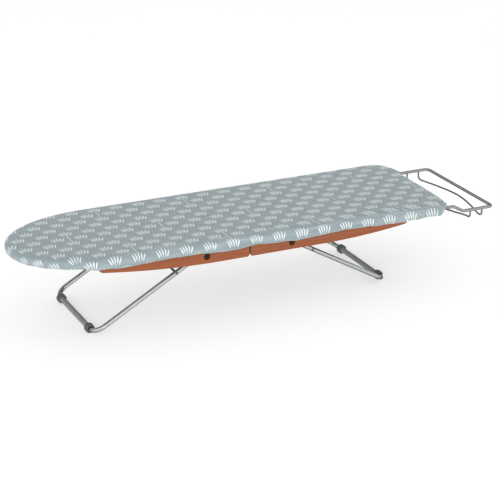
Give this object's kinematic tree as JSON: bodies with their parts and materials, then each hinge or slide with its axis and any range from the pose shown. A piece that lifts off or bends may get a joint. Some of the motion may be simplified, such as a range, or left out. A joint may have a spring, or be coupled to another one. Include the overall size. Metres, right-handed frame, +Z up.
{
  "type": "ironing board",
  "caption": "Low table-top ironing board with a rounded nose, wooden rails, folding tubular legs and a wire iron rest; the deck folds in half.",
  "frame": {"origin": "middle of the whole object's box, on the table that the feet stand on", "axes": "+X from the rounded nose to the iron rest, +Y across the board to its back edge, +Z up"},
  "size_m": [1.0674, 0.3, 0.18],
  "materials": {
    "cover": "matte printed cotton",
    "felt": "undyed needled felt",
    "panel": "bare fibreboard",
    "rail": "cherry-stained beech, satin lacquer",
    "tube": "silver-grey powder coat, semi-gloss",
    "zinc": "bright zinc plate",
    "bolt": "black oxide",
    "sleeve": "grained grey moulding",
    "ring": "dark grey rubber"
  },
  "bodies": {
    "nose_half": {"hinge_leaf_nose_back": "zinc", "hinge_leaf_nose_front": "zinc", "hinge_pin_back": "zinc", "hinge_pin_front": "zinc", "hinge_screw_nose_back": "zinc", "hinge_screw_nose_front": "zinc", "lock_guide": "zinc", "nose_cover": "cover", "nose_felt": "felt", "nose_panel": "panel", "nose_pivot_bolt_back": "bolt", "nose_pivot_bolt_front": "bolt", "nose_pivot_nut_back": "zinc", "nose_pivot_nut_front": "zinc", "nose_pivot_spacer_back": "sleeve", "nose_pivot_spacer_front": "sleeve", "nose_prop_guide": "zinc", "nose_prop_guide_screw_inner": "zinc", "nose_prop_guide_screw_outer": "zinc", "nose_rail_back": "rail", "nose_rail_front": "rail"},
    "square_half": {"hinge_leaf_square_back": "zinc", "hinge_leaf_square_front": "zinc", "hinge_screw_square_back": "zinc", "hinge_screw_square_front": "zinc", "lock_keeper": "zinc", "rest_frame": "tube", "rest_saddle_back": "zinc", "rest_saddle_front": "zinc", "rest_saddle_screw_back": "zinc", "rest_saddle_screw_front": "zinc", "rest_wire_inner": "tube", "rest_wire_outer": "tube", "square_cover": "cover", "square_felt": "felt", "square_panel": "panel", "square_pivot_bolt_back": "bolt", "square_pivot_bolt_front": "bolt", "square_pivot_nut_back": "zinc", "square_pivot_nut_front": "zinc", "square_pivot_spacer_back": "sleeve", "square_pivot_spacer_front": "sleeve", "square_prop_guide": "zinc", "square_prop_guide_screw_inner": "zinc", "square_prop_guide_screw_outer": "zinc", "square_rail_back": "rail", "square_rail_front": "rail"},
    "nose_leg": {"nose_cross_rod": "zinc", "nose_foot_ring_back": "ring", "nose_foot_ring_front": "ring", "nose_foot_sleeve": "sleeve", "nose_leg_tube": "tube"},
    "square_leg": {"square_cross_rod": "zinc", "square_foot_ring_back": "ring", "square_foot_ring_front": "ring", "square_foot_sleeve": "sleeve", "square_leg_tube": "tube"},
    "nose_prop": {"nose_prop": "zinc"},
    "square_prop": {"square_prop": "zinc"},
    "lock_slide": {"lock_bolt": "zinc"}
  },
  "joints": [
    {"name": "board_fold", "type": "hinge", "parent": "nose_half", "child": "square_half", "pos_m": [-0.05875, 0, 0.1762], "axis": [0, -1, 0], "range_deg": [0, 170]},
    {"name": "nose_leg_fold", "type": "hinge", "parent": "nose_half", "child": "nose_leg", "pos_m": [-0.15545, 0, 0.1453], "axis": [0, 1, 0], "range_deg": [0, 29.5]},
    {"name": "square_leg_fold", "type": "hinge", "parent": "square_half", "child": "square_leg", "pos_m": [0.03795, 0, 0.1453], "axis": [0, -1, 0], "range_deg": [0, 29.5]},
    {"name": "nose_prop_swing", "type": "hinge", "parent": "nose_leg", "child": "nose_prop", "pos_m": [-0.21458, 0, 0.11172], "axis": [0, -1, 0], "range_deg": [0, 76]},
    {"name": "square_prop_swing", "type": "hinge", "parent": "square_leg", "child": "square_prop", "pos_m": [0.09708, 0, 0.11172], "axis": [0, 1, 0], "range_deg": [0, 76]},
    {"name": "lock_bolt_slide", "type": "slide", "parent": "nose_half", "child": "lock_slide", "axis": [1, 0, 0], "range_m": [0, 0.024]}
  ],
  "couplings": [
    {"joint": "nose_prop_swing", "follows": "nose_leg_fold", "ratio": 2.518},
    {"joint": "square_prop_swing", "follows": "square_leg_fold", "ratio": 2.518}
  ]
}
